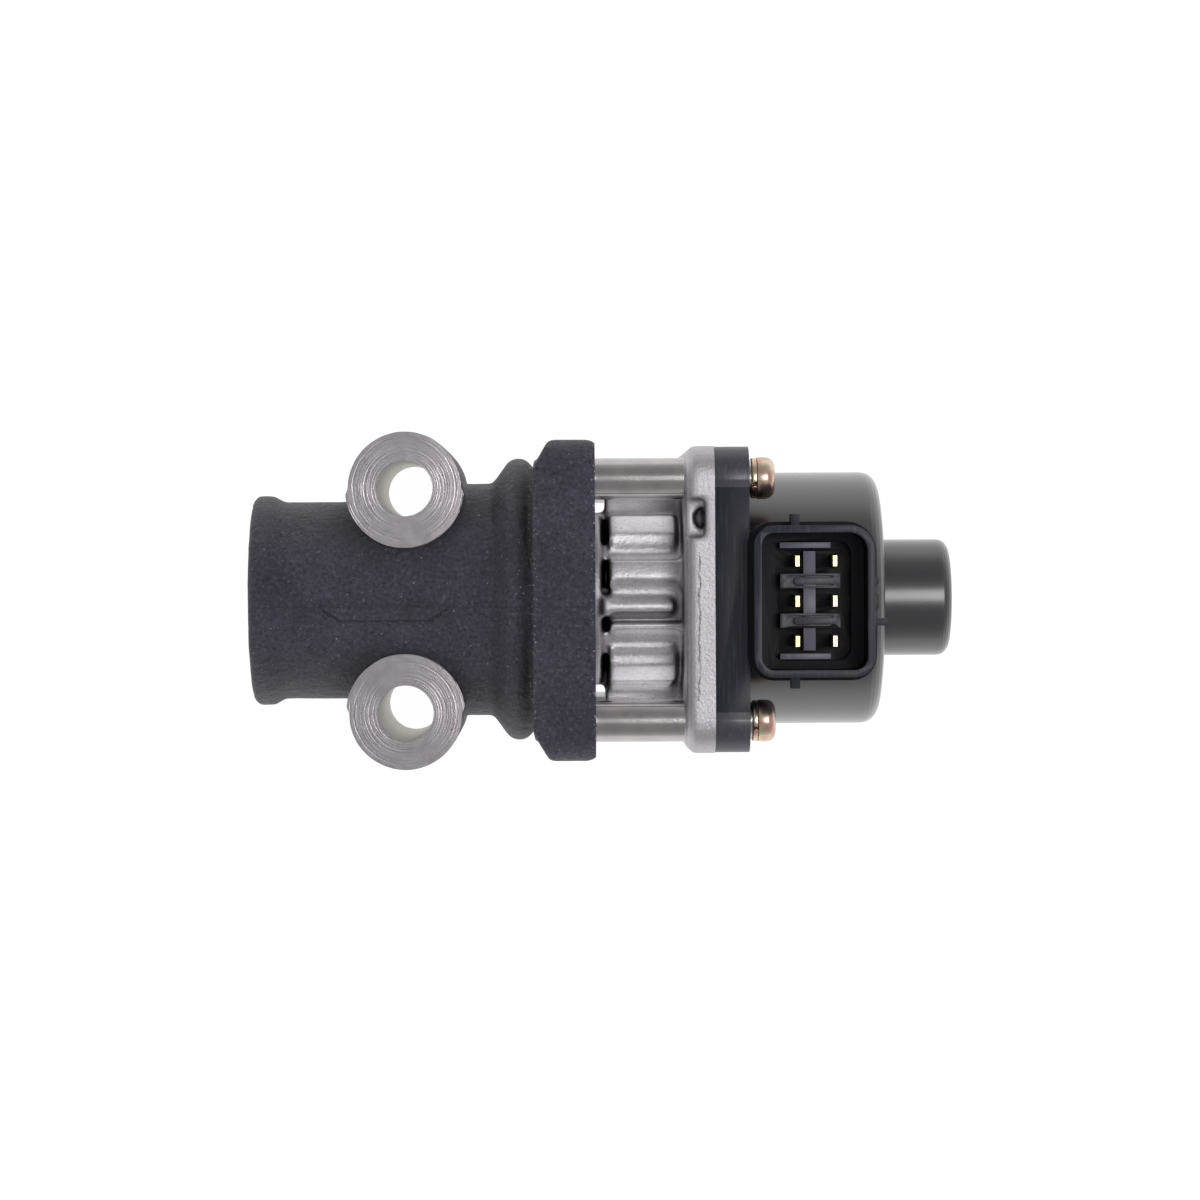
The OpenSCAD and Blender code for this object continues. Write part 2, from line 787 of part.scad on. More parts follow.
// Pan head screw with a cross recess
module screw(i) {
  cross_slot_w = screw_head_r * slot_w_share;
  cross_slot_len = screw_head_r * slot_len_share;
  slot_deep = screw_head_h * slot_deep_share;
  round_r = screw_head_h * head_round_share;
  color("#b98d6a") at_screw(i) difference() {
    union() {
      bar(screw_root + screw_r, head_x + cut, screw_r);
      on_axis(head_x) rotate_extrude()
        polygon(rounded(
          [[0, 0], [screw_head_r, 0], [screw_head_r, screw_head_h], [0, screw_head_h]],
          [0, 0, round_r, 0]
        ));
    }
    for (a = [0, 90])
      on_axis(head_x + screw_head_h - slot_deep) rotate([0, 0, a])
        translate([-cross_slot_len / 2, -cross_slot_w / 2, 0])
          cube([cross_slot_len, cross_slot_w, screw_head_h]);
  }
}

// Split ring washer
module lock_washer(i) {
  color("#c0a078") at_screw(i) difference() {
    ring(sleeve_end, head_x, washer_r, screw_hole_r);
    on_axis(sleeve_end - cut) rotate([0, 0, split_angle])
      translate([0, -washer_split / 2, 0]) cube([2 * washer_r, washer_split, washer_t + 2 * cut]);
  }
}

module limiter_sleeve(i) {
  color("#c9c9c9") at_screw(i) ring(motor_x, sleeve_end, sleeve_r, screw_hole_r);
}

module flange_o_ring() {
  color("#1d1d1c") on_axis(motor_x + o_ring_sec_r + fit) rotate_extrude()
    translate([o_ring_r, 0]) circle(r = o_ring_sec_r);
}

// Half of the motor flange's outline: a corner ear at each end of a lower flat side
function ear_side(a) =
  let (
    half = motor_flange_w / 2,
    c = screw_pitch / 2,
    pts = concat(
      [for (k = [0:arc_steps]) [c + ear_r * cos(90 * k / arc_steps), c + ear_r * sin(90 * k / arc_steps)]],
      [[c - ear_step, half], [c - ear_slope_share * ear_step, half - ear_step],
       [ear_slope_share * ear_step - c, half - ear_step], [ear_step - c, half]]
    )
  )
  [for (p = pts) [p.x * cos(a) - p.y * sin(a), p.x * sin(a) + p.y * cos(a)]];

module collar_outline(grow) {
  r = collar_corner_r + grow;
  translate([collar_x, collar_y])
    polygon(rounded(
      box_points(-grow, collar_len + grow, -collar_w / 2 - grow, collar_w / 2 + grow),
      [r, r, r * far_corner_share, r]
    ));
}

module connector_tower() {
  difference() {
    union() {
      translate([0, 0, axis_h]) {
        linear_extrude(collar_h) collar_outline(0);
        linear_extrude(base_h) collar_outline(base_grow);
        for (side = [-1, 1])
          translate([tab_x, collar_y + side * (collar_w + tab_proud) / 2, collar_h - tab_drop - tab_h / 2])
            cube([tab_w, tab_proud + cut, tab_h], center = true);
        translate([collar_x + collar_len - cut, 0, collar_h - tab_drop - tab_h]) {
          translate([0, lock_rib_y - lock_rib_w / 2, 0]) cube([lock_rib_len + cut, lock_rib_w, tab_h]);
          translate([0, collar_y - lock_step_w / 2, 0]) cube([lock_step_len + cut, lock_step_w, tab_h]);
          translate([0, lock_hook_y - lock_hook_w / 2, 0]) cube([lock_step_len + cut, lock_hook_w, tab_h]);
        }
      }
    }
    bar(can_x - 2 * cut, shoulder_x + cut, can_r + can_gap);
    bar(motor_x, can_x, can_r);
  }
}

module socket() {
  inner_r = collar_corner_r - collar_wall;
  translate([0, collar_y, axis_h]) {
    translate([0, 0, collar_h - socket_depth])
      linear_extrude(socket_depth + cut)
        polygon(rounded(
          box_points(socket_x0, socket_x0 + socket_len, -socket_w / 2, socket_w / 2),
          [inner_r, inner_r, inner_r * far_inner_share, inner_r]
        ));
    translate([0, 0, floor_z])
      linear_extrude(pocket_depth + cut)
        polygon(rounded(
          box_points(socket_x0 + ledge_x, socket_x0 + socket_len - ledge_x,
            ledge_y - socket_w / 2, socket_w / 2 - ledge_y),
          [inner_r, inner_r, inner_r, inner_r]
        ));
  }
}

// A bar with round ends along the axis, between two heights
module stadium(x0, length, y, w, z0, z1) {
  translate([0, 0, z0]) linear_extrude(z1 - z0) {
    translate([x0 + w / 2, y]) circle(r = w / 2);
    translate([x0 + length - w / 2, y]) circle(r = w / 2);
    translate([x0 + w / 2, y - w / 2]) square([length - w, w]);
  }
}

// Ribs that key the plug on the floor of the socket
module socket_bars() {
  translate([0, collar_y, axis_h]) {
    for (side = [-1, 1]) {
      y = side * pin_pitch / 2;
      difference() {
        translate([bar_x, y - bar_w / 2, floor_z - fit]) cube([bar_len, bar_w, bar_h]);
        stadium(
          bar_x + groove_w / 2, bar_len - groove_w, y, groove_w,
          floor_z + bar_h - ridge_h, floor_z + bar_h
        );
      }
      stadium(bar_x + ridge_inset, ridge_len, y, ridge_w, floor_z, floor_z + bar_h);
      translate([bar_x, side * ledge_bar_y - ledge_bar_w / 2, floor_z - fit])
        cube([ledge_bar_len, ledge_bar_w, pocket_depth]);
    }
    translate([cross_x, -cross_len / 2, floor_z - fit]) cube([cross_w, cross_len, cross_h]);
    for (row = [-1:1])
      translate([cross_x + cross_w - fit, row * pin_pitch - pin_w / 2, floor_z - fit])
        cube([pin_x + pin_row_pitch / 2 - pin_t / 2 - cross_x - cross_w - fit, pin_w, step_h]);
  }
}

// Flange, connector tower and bearing seat, moulded as one piece
module motor_housing() {
  color("#33333b") difference() {
    union() {
      difference() {
        union() {
          on_axis(motor_x) linear_extrude(motor_flange_t)
            polygon([for (a = [0:90:270]) for (p = ear_side(a)) p]);
          bar(can_x - fit, stator_x - fit, spigot_r);
          connector_tower();
        }
        socket();
      }
      socket_bars();
    }
    bar(motor_x - cut, bearing_x + fit, guide_r + fit);
    bar(bearing_x, bearing_x + bearing_w + 2 * fit, bearing_r + fit);
    bar(bearing_x, stator_x + cut, hub_bore_r);
    ring(
      motor_x - cut, motor_x + 2 * o_ring_sec_r + 2 * fit,
      o_ring_r + o_ring_width / 2, o_ring_r - o_ring_width / 2
    );
    at_screws() bar(motor_x - cut, can_x + cut, sleeve_r + fit);
    for (i = [1:6]) pin_blade(i, fit);
  }
}

module motor_can() {
  inner_r = can_r - can_wall;
  cap_inner_r = cap_r - can_wall;
  color("#1c1c1f") on_axis(0) rotate_extrude()
    polygon(rounded(
      [
        [inner_r, can_x], [can_r, can_x], [can_r, shoulder_x], [cap_r, shoulder_x],
        [cap_r, end_x], [0, end_x], [0, end_x - can_wall], [cap_inner_r, end_x - can_wall],
        [cap_inner_r, shoulder_x - can_wall], [inner_r, shoulder_x - can_wall]
      ],
      [
        0, 0, can_fillet, can_wall / 2,
        cap_fillet, 0, 0, cap_fillet - can_wall,
        can_wall / 2, can_fillet - can_wall
      ]
    ));
}

// Round bar with two flats, between two places on the axis
module flatted_bar(x0, x1, r, across) {
  intersection() {
    bar(x0, x1, r);
    translate([x0, -across / 2, axis_h - r]) cube([x1 - x0, across, 2 * r]);
  }
}

module screw_guide() {
  color("#8c8f92") difference() {
    bar(motor_x, bearing_x, guide_r);
    flatted_bar(motor_x - cut, bearing_x + cut, lead_screw_r + fit, flats_w + 2 * fit);
  }
}

module ball_race() {
  on_axis(bearing_x + fit + bearing_w / 2) rotate_extrude()
    translate([ball_orbit_r, 0]) circle(r = ball_r + fit);
}

module front_bearing_outer() {
  color("#a8a8aa") difference() {
    ring(bearing_x + fit, bearing_x + fit + bearing_w, bearing_r, outer_ring_r);
    ball_race();
  }
}

module front_bearing_inner() {
  color("#a8a8aa") difference() {
    ring(bearing_x + fit, bearing_x + fit + bearing_w, inner_ring_r, journal_r + fit);
    ball_race();
  }
}

module front_bearing_balls() {
  color("#c8c8ca") on_axis(bearing_x + fit + bearing_w / 2)
    for (k = [0:balls - 1]) rotate([0, 0, 360 * k / balls])
      translate([ball_orbit_r, 0, 0]) sphere(r = ball_r);
}

module rear_bush() {
  color("#b08d57") ring(bush_x, bush_x + rear_bush_len, rear_bush_r, journal_r + fit);
}

module preload_washer() {
  color("#8d8d90") ring(bush_x - preload_t - fit, bush_x - fit, preload_r, journal_r + fit);
}

module lead_screw() {
  color("#9c9c9e") union() {
    flatted_bar(screw_tip_x, screw_tip_x + flats_len, lead_screw_r, flats_w);
    bar(screw_tip_x + flats_len - fit, lead_screw_end, lead_screw_r);
  }
}

module rotor_hub() {
  color("#c9b48a") difference() {
    union() {
      bar(hub_front, hub_tail, journal_r);
      bar(magnet_x - hub_collar, hub_rear, hub_r - fit);
      bar(magnet_x - hub_collar, magnet_x, hub_collar_r);
      bar(hub_rear - fit, bush_x - preload_t - 2 * fit, inner_ring_r);
    }
    bar(hub_front - cut, hub_tail + cut, lead_screw_r + fit);
  }
}

module rotor_magnet() {
  color("#4a4744") ring(magnet_x + fit, hub_rear, magnet_r, hub_r);
}

// Pressed steel plate with a ring of teeth bent along the axis
module pole_plate(i) {
  second = i > 2 ? 1 : 0;
  points_left = i % 2 == 0 ? 1 : 0;
  coil_x = stator_x + second * (coil_len + stator_gap);
  x0 = points_left ? coil_x + coil_len - plate_sheet : coil_x;
  tooth_len = coil_len - 2 * plate_sheet - stator_gap;
  tooth_x = points_left ? x0 - tooth_len : x0;
  tooth_w = PI * stator_bore_r / teeth * tooth_share;
  shift = 360 / teeth * (points_left / 2 + second / 4);
  color("#85868a") union() {
    ring(x0, x0 + plate_sheet, spigot_r, stator_bore_r);
    intersection() {
      ring(tooth_x, tooth_x + tooth_len + plate_sheet, stator_bore_r + tooth_t, stator_bore_r);
      for (k = [0:teeth - 1])
        on_axis(tooth_x) rotate([0, 0, shift + 360 * k / teeth])
          translate([0, -tooth_w / 2, 0]) cube([2 * stator_bore_r, tooth_w, tooth_len + plate_sheet]);
    }
  }
}

module bobbin(second) {
  x0 = stator_x + second * (coil_len + stator_gap) + plate_sheet + stator_gap;
  x1 = x0 + coil_len - 2 * plate_sheet - 2 * stator_gap;
  color("#d8d2c0") difference() {
    bar(x0, x1, bobbin_flange_r);
    ring(x0 + bobbin_wall, x1 - bobbin_wall, bobbin_flange_r + cut, bobbin_r + bobbin_wall);
    bar(x0 - cut, x1 + cut, bobbin_r);
  }
}

module winding(second) {
  x0 = stator_x + second * (coil_len + stator_gap) + plate_sheet + bobbin_wall + 2 * stator_gap;
  x1 = x0 + coil_len - 2 * plate_sheet - 2 * bobbin_wall - 4 * stator_gap;
  color("#a85a32") ring(x0, x1, winding_r, bobbin_r + bobbin_wall + stator_gap);
}

// Flat blade pin, in two rows of three, with its tip tapered
module pin_blade(i, grow) {
  row = i > 3 ? 1 : -1;
  place = (i - 1) % 3 - 1;
  taper = grow > 0 ? 0 : pin_t * pin_tip_share;
  w = pin_w + 2 * grow;
  t = pin_t + 2 * grow;
  low = floor_z - pin_root - grow;
  high = floor_z + pin_h;
  translate([pin_x + row * pin_row_pitch / 2 - t / 2, collar_y - place * pin_pitch, axis_h])
    rotate([90, 0, 90]) linear_extrude(t)
      polygon([
        [-w / 2, low], [w / 2, low], [w / 2, high - taper],
        [w / 2 - taper / 2, high], [taper / 2 - w / 2, high], [-w / 2, high - taper]
      ]);
}

module terminal_pin(i) {
  color("#d8b75a") pin_blade(i, 0);
}

valve_body();
end_plug();
valve_seat();
pintle_valve();
stem_bush();
stem_seal();
motor_holder();
return_spring();
spring_holder();
for (i = [1:4]) {
  spacer_tube(i);
  screw(i);
  lock_washer(i);
  limiter_sleeve(i);
  pole_plate(i);
}
flange_o_ring();
motor_housing();
motor_can();
screw_guide();
front_bearing_outer();
front_bearing_inner();
front_bearing_balls();
rear_bush();
preload_washer();
lead_screw();
rotor_hub();
rotor_magnet();
bobbin(0);  // bobbin_front
bobbin(1);  // bobbin_rear
winding(0);  // winding_front
winding(1);  // winding_rear
for (i = [1:6])
  terminal_pin(i);
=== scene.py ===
"""Finishes, cast surfaces, light and camera for the exhaust gas recirculation valve."""
import json
import math

import bpy
from mathutils import Matrix, Vector


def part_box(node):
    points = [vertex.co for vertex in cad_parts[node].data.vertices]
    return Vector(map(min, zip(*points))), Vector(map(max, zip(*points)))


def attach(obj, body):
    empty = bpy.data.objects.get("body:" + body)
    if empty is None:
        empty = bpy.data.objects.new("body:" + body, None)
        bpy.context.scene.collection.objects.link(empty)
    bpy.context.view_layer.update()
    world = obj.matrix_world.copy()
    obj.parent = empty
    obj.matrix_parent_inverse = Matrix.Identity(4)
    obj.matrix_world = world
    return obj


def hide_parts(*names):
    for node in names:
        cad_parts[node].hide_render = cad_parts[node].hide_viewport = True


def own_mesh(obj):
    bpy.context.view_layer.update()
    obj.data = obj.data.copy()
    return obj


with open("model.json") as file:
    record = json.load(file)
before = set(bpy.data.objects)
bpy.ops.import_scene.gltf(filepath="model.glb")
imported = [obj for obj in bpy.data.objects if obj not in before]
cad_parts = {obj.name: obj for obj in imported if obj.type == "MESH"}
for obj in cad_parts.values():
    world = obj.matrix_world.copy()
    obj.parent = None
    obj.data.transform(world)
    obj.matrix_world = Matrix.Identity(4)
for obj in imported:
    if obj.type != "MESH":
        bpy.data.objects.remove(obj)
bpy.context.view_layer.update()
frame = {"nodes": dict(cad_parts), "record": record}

MM = 0.001
UP = Vector((0, 0, 1))
ALONG = Vector((1, 0, 0))

# Places read from the frame
body_low, body_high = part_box("valve_body")
can_low, can_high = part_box("motor_can")
holder_low, holder_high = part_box("motor_holder")
housing_low, housing_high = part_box("motor_housing")
axis_z = (can_low.z + can_high.z) / 2
flange_right = body_high.x
bolts = next(m for m in frame["record"]["mounts"] if m["name"] == "mounting_bolts")
bolt_y = bolts["dims"]["spacing_y_mm"] * MM / 2
bolt_r = bolts["dims"]["hole_r_mm"] * MM
boss_top = 43.5 * MM
spot_r = 9.6 * MM
screw_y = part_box("screw_1")[0].y / 2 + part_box("screw_1")[1].y / 2


# Camera, straight down on the long axis with a slight roll
EYE = Vector((24.9, 6.9, 622)) * MM
AIM = Vector((31.5, -0.2, 28)) * MM
FIELD_DEG = 18.92
ROLL_DEG = 0.3


def set_camera():
    camera = bpy.data.objects.new("camera", bpy.data.cameras.new("camera"))
    bpy.context.scene.collection.objects.link(camera)
    look = (AIM - EYE).normalized()
    roll = math.radians(ROLL_DEG)
    right = look.cross(Vector((math.sin(roll), math.cos(roll), 0))).normalized()
    camera.matrix_world = Matrix((right, right.cross(look), -look)).transposed().to_4x4()
    camera.location = EYE
    camera.data.angle = math.radians(FIELD_DEG)
    camera.data.clip_start = 10 * MM
    bpy.context.scene.camera = camera


# Colours and nodes
def colour(code):
    """An sRGB hex code as linear red, green, blue and alpha."""
    parts = [int(code[i:i + 2], 16) / 255 for i in (1, 3, 5)]
    return [p / 12.92 if p <= 0.04045 else ((p + 0.055) / 1.055) ** 2.4 for p in parts] + [1.0]


def per(size):
    """Pattern scale for a detail of this many millimetres."""
    return 1 / (size * MM)


def add(tree, kind, inputs=None, **settings):
    """Adds a node, with its settings, and its input values or links."""
    node = tree.nodes.new("ShaderNode" + kind)
    for name, value in settings.items():
        setattr(node, name, value)
    for name, value in (inputs or {}).items():
        if isinstance(value, bpy.types.NodeSocket):
            tree.links.new(value, node.inputs[name])
        else:
            node.inputs[name].default_value = value
    return node


def new_finish(name, base, metallic, roughness, **sockets):
    """A material, its node tree and its shader."""
    material = bpy.data.materials.new(name)
    material.use_nodes = True
    tree = material.node_tree
    shader = tree.nodes["Principled BSDF"]
    values = {"Base Color": colour(base), "Metallic": metallic, "Roughness": roughness, **sockets}
    for socket, value in values.items():
        shader.inputs[socket].default_value = value
    return material, tree, shader


def two_tones(tree, factor, low, high, start=0.35, end=0.65):
    """Colour that goes from low to high as factor goes from start to end."""
    ramp = add(tree, "ValToRGB", {"Fac": factor})
    ramp.color_ramp.elements[0].position = start
    ramp.color_ramp.elements[1].position = end
    ramp.color_ramp.elements[0].color = colour(low)
    ramp.color_ramp.elements[1].color = colour(high)
    return ramp.outputs["Color"]


def plain_finish(name, low, high, metallic, roughness, grain, depth):
    """A finish with two close tones and a fine grain, for pieces that show little."""
    material, tree, shader = new_finish(name, low, metallic, roughness)
    place = add(tree, "TexCoord").outputs["Object"]
    tone = add(tree, "TexNoise", {"Vector": place, "Scale": per(grain * 6), "Detail": 3.0})
    grit = add(tree, "TexNoise", {"Vector": place, "Scale": per(grain), "Detail": 2.0})
    bump = add(tree, "Bump", {"Height": grit.outputs["Fac"], "Strength": 0.5, "Distance": depth * MM})
    tree.links.new(two_tones(tree, tone.outputs["Fac"], low, high), shader.inputs["Base Color"])
    tree.links.new(bump.outputs["Normal"], shader.inputs["Normal"])
    return material


def edge_band(tree, along, place, half_width):
    """One on a band round a place along the axis, fading to zero at its sides."""
    off = add(tree, "Math", {0: along, 1: place}, operation="SUBTRACT")
    off = add(tree, "Math", {0: off.outputs["Value"]}, operation="ABSOLUTE")
    band = add(tree, "MapRange", {"Value": off.outputs["Value"], "From Min": half_width, "From Max": 0.0})
    return band.outputs["Result"]


def painted_hollow_shade(tree, base, dark, reach):
    """Painted shade: the base colour darkened where nearby surfaces close in within reach millimetres."""
    open_sky = add(tree, "AmbientOcclusion", {"Distance": reach * MM}, samples=8)
    share = add(tree, "MapRange", {"Value": open_sky.outputs["AO"], "From Min": 0.35, "From Max": 1.0})
    return add(tree, "Mix", {"Factor": share.outputs["Result"], "A": colour(dark), "B": base},
               data_type="RGBA").outputs["Result"]


def black_casting():
    """Sand-cast iron under a thin blue-black coat: sand grain, bare specks where edges have worn, painted shade
    where its surfaces close in.
    """
    # The sheen is real grazing gloss; its olive tint is a painted reflection of a warm surrounding
    material, tree, shader = new_finish("black_casting", "#3b3947", 0.0, 0.5, **{
        "Sheen Weight": 0.12, "Sheen Roughness": 0.35, "Sheen Tint": colour("#b9b79c")})
    place = add(tree, "TexCoord").outputs["Object"]
    tone = add(tree, "TexNoise", {"Vector": place, "Scale": per(7), "Detail": 4.0})
    base = two_tones(tree, tone.outputs["Fac"], "#353342", "#413e4e")
    grit = add(tree, "TexNoise", {"Vector": place, "Scale": per(0.6), "Detail": 4.0, "Roughness": 0.7})
    dark = add(tree, "MapRange", {"Value": grit.outputs["Fac"], "From Min": 0.52, "From Max": 0.3})
    base = add(tree, "Mix", {"Factor": dark.outputs["Result"], "A": base, "B": colour("#1d1c22")},
               data_type="RGBA").outputs["Result"]
    light = add(tree, "MapRange", {"Value": grit.outputs["Fac"], "From Min": 0.56, "From Max": 0.78})
    base = add(tree, "Mix", {"Factor": light.outputs["Result"], "A": base, "B": colour("#615f6c")},
               data_type="RGBA").outputs["Result"]
    # Painted shade where the casting's surfaces close in
    base = painted_hollow_shade(tree, base, "#201f26", 6)
    split = add(tree, "SeparateXYZ", {"Vector": place})
    along = split.outputs["X"]
    parting = edge_band(tree, split.outputs["Y"], -1.0 * MM, 0.2 * MM)
    parting = add(tree, "Math", {0: parting, 1: 0.6}, operation="MULTIPLY").outputs["Value"]
    base = add(tree, "Mix", {"Factor": parting, "A": base, "B": colour("#24222b")},
               data_type="RGBA").outputs["Result"]
    left = edge_band(tree, along, body_high.x - 9.9 * MM, 1.0 * MM)
    right = edge_band(tree, along, body_high.x, 1.0 * MM)
    worn = add(tree, "Math", {0: left, 1: right}, operation="ADD")
    worn = add(tree, "Math", {0: worn.outputs["Value"], 1: 0.14, 2: 0.08}, operation="MULTIPLY_ADD")
    speck = add(tree, "TexNoise", {"Vector": place, "Scale": per(0.45), "Detail": 1.0})
    near = add(tree, "Math", {0: speck.outputs["Fac"], 1: worn.outputs["Value"]}, operation="ADD")
    spots = add(tree, "MapRange", {"Value": near.outputs["Value"], "From Min": 0.82, "From Max": 0.87})
    mixed = add(tree, "Mix", {"Factor": spots.outputs["Result"], "A": base, "B": colour("#8f8e95")},
                data_type="RGBA")
    lumps = add(tree, "TexNoise", {"Vector": place, "Scale": per(1.8), "Detail": 2.0})
    fine = add(tree, "Bump", {"Height": grit.outputs["Fac"], "Strength": 1.0, "Distance": 0.5 * MM})
    coarse = add(tree, "Bump", {"Height": lumps.outputs["Fac"], "Strength": 0.8, "Distance": 0.5 * MM,
                                "Normal": fine.outputs["Normal"]})
    tree.links.new(mixed.outputs["Result"], shader.inputs["Base Color"])
    tree.links.new(coarse.outputs["Normal"], shader.inputs["Normal"])
    return material


def machined_iron():
    """Iron faced with a spot facer: rings round each bolt hole, small pits, warm grey."""
    material, tree, shader = new_finish("machined_iron", "#b0aaaf", 1.0, 0.27)
    place = add(tree, "TexCoord").outputs["Object"]
    split = add(tree, "SeparateXYZ", {"Vector": place})
    side = add(tree, "Math", {0: split.outputs["Y"]}, operation="ABSOLUTE")
    off = add(tree, "Math", {0: side.outputs["Value"], 1: bolt_y}, operation="SUBTRACT")
    flat = add(tree, "CombineXYZ", {"X": split.outputs["X"], "Y": off.outputs["Value"]})
    radius = add(tree, "VectorMath", {0: flat.outputs["Vector"]}, operation="LENGTH")
    wander = add(tree, "TexNoise", {"Vector": place, "Scale": per(4)})
    wander = add(tree, "Math", {0: wander.outputs["Fac"], 1: 0.6 * MM}, operation="MULTIPLY")
    turn = add(tree, "CombineXYZ", {"X": radius.outputs["Value"], "Y": wander.outputs["Value"]})
    rings = add(tree, "TexNoise", {"Vector": turn.outputs["Vector"], "Scale": per(0.3), "Detail": 3.0})
    cloud = add(tree, "TexNoise", {"Vector": place, "Scale": per(2.5), "Detail": 4.0})
    base = two_tones(tree, cloud.outputs["Fac"], "#aaa4a9", "#b8b2b7")
    pits = add(tree, "TexVoronoi", {"Vector": place, "Scale": per(2.4)})
    deep = add(tree, "MapRange", {"Value": pits.outputs["Distance"], "From Min": 0.04, "From Max": 0.07})
    mixed = add(tree, "Mix", {"Factor": deep.outputs["Result"], "A": colour("#4a4649"), "B": base},
                data_type="RGBA")
    bump = add(tree, "Bump", {"Height": rings.outputs["Fac"], "Strength": 1.0, "Distance": 0.045 * MM})
    tree.links.new(mixed.outputs["Result"], shader.inputs["Base Color"])
    tree.links.new(bump.outputs["Normal"], shader.inputs["Normal"])
    return material


def blasted_aluminium():
    """Die-cast aluminium blasted with fine shot: painted glints, slightly lilac, painted shade where surfaces close
    in and on the plate face, a seam along the plate.
    """
    material, tree, shader = new_finish("blasted_aluminium", "#d5d1d7", 1.0, 0.46)
    place = add(tree, "TexCoord").outputs["Object"]
    tone = add(tree, "TexNoise", {"Vector": place, "Scale": per(4), "Detail": 3.0})
    base = two_tones(tree, tone.outputs["Fac"], "#dcd8de", "#eae7ec")
    shot = add(tree, "TexNoise", {"Vector": place, "Scale": per(0.45), "Detail": 3.0, "Roughness": 0.7})
    # Painted glints: near-white points where the shot noise is high
    glints = add(tree, "MapRange", {"Value": shot.outputs["Fac"], "From Min": 0.6, "From Max": 0.74})
    base = add(tree, "Mix", {"Factor": glints.outputs["Result"], "A": base, "B": colour("#fbf9fc")},
               data_type="RGBA").outputs["Result"]
    pits = add(tree, "MapRange", {"Value": shot.outputs["Fac"], "From Min": 0.45, "From Max": 0.3})
    base = add(tree, "Mix", {"Factor": pits.outputs["Result"], "A": base, "B": colour("#c6c2c8")},
               data_type="RGBA").outputs["Result"]
    # Painted shade where the holder's surfaces close in, between the ribs
    base = painted_hollow_shade(tree, base, "#716d72", 4)
    split = add(tree, "SeparateXYZ", {"Vector": place})
    # Painted shade: the plate face is drawn darker than the ribs
    plate = add(tree, "MapRange", {"Value": split.outputs["X"], "From Min": holder_high.x - 4.8 * MM,
                                   "From Max": holder_high.x - 4 * MM, "To Max": 0.75})
    base = add(tree, "Mix", {"Factor": plate.outputs["Result"], "A": base, "B": colour("#b2afb4")},
               data_type="RGBA").outputs["Result"]
    wander = add(tree, "TexNoise", {"Vector": place, "Scale": per(2.2), "Detail": 4.0, "Roughness": 0.7})
    wavy = add(tree, "Math", {0: wander.outputs["Fac"], 1: 1.6 * MM, 2: holder_high.x - 3.3 * MM},
               operation="MULTIPLY_ADD")
    seam = edge_band(tree, split.outputs["X"], wavy.outputs["Value"], 0.24 * MM)
    low = add(tree, "Math", {0: split.outputs["Y"], 1: 7 * MM}, operation="LESS_THAN")
    high = add(tree, "Math", {0: split.outputs["Y"], 1: -16 * MM}, operation="GREATER_THAN")
    seam = add(tree, "Math", {0: seam, 1: low.outputs["Value"]}, operation="MULTIPLY")
    seam = add(tree, "Math", {0: seam.outputs["Value"], 1: high.outputs["Value"]}, operation="MULTIPLY")
    breaks = add(tree, "MapRange", {"Value": tone.outputs["Fac"], "From Min": 0.36, "From Max": 0.5})
    seam = add(tree, "Math", {0: seam.outputs["Value"], 1: breaks.outputs["Result"]}, operation="MULTIPLY")
    mixed = add(tree, "Mix", {"Factor": seam.outputs["Value"], "A": base, "B": colour("#6d696e")},
                data_type="RGBA")
    bump = add(tree, "Bump", {"Height": shot.outputs["Fac"], "Strength": 0.7, "Distance": 0.14 * MM})
    tree.links.new(mixed.outputs["Result"], shader.inputs["Base Color"])
    tree.links.new(bump.outputs["Normal"], shader.inputs["Normal"])
    return material


def black_can_coat():
    """Deep-drawn steel with a semi-gloss black coat, very slightly uneven."""
    material, tree, shader = new_finish("black_can_coat", "#17171d", 0.0, 0.4, **{
        "IOR": 1.45, "Coat Weight": 1.0, "Coat IOR": 1.75, "Coat Roughness": 0.25})
    place = add(tree, "TexCoord").outputs["Object"]
    peel = add(tree, "TexNoise", {"Vector": place, "Scale": per(0.8), "Detail": 2.0})
    bump = add(tree, "Bump", {"Height": peel.outputs["Fac"], "Strength": 0.15, "Distance": 0.02 * MM})
    tree.links.new(bump.outputs["Normal"], shader.inputs["Normal"])
    return material


def moulded_plastic(name, low, high, roughness=0.42, level=0.5):
    """Glass-filled black plastic, satin from the mould, with fine scratches across the axis."""
    material, tree, shader = new_finish(name, low, 0.0, roughness, **{"Specular IOR Level": level})
    place = add(tree, "TexCoord").outputs["Object"]
    tall = add(tree, "Mapping", {"Vector": place, "Scale": (1.0, 0.06, 1.0)})
    lines = add(tree, "TexNoise", {"Vector": tall.outputs["Vector"], "Scale": per(0.35), "Detail": 3.0})
    worn = add(tree, "MapRange", {"Value": lines.outputs["Fac"], "From Min": 0.55, "From Max": 0.8})
    base = add(tree, "Mix", {"Factor": worn.outputs["Result"], "A": colour(low),
                             "B": colour(high)}, data_type="RGBA")
    grain = add(tree, "TexNoise", {"Vector": place, "Scale": per(0.5), "Detail": 2.0})
    bump = add(tree, "Bump", {"Height": grain.outputs["Fac"], "Strength": 0.2, "Distance": 0.03 * MM})
    tree.links.new(base.outputs["Result"], shader.inputs["Base Color"])
    tree.links.new(bump.outputs["Normal"], shader.inputs["Normal"])
    return material


def yellow_zinc():
    """Zinc plate with yellow passivation that turns pink and copper in patches."""
    material, tree, shader = new_finish("yellow_zinc", "#c4a594", 1.0, 0.26)
    place = add(tree, "TexCoord").outputs["Object"]
    patch = add(tree, "TexNoise", {"Vector": place, "Scale": per(1.6), "Detail": 2.0})
    base = two_tones(tree, patch.outputs["Fac"], "#cfa598", "#d8cbb2", 0.4, 0.6)
    tree.links.new(base, shader.inputs["Base Color"])
    return material


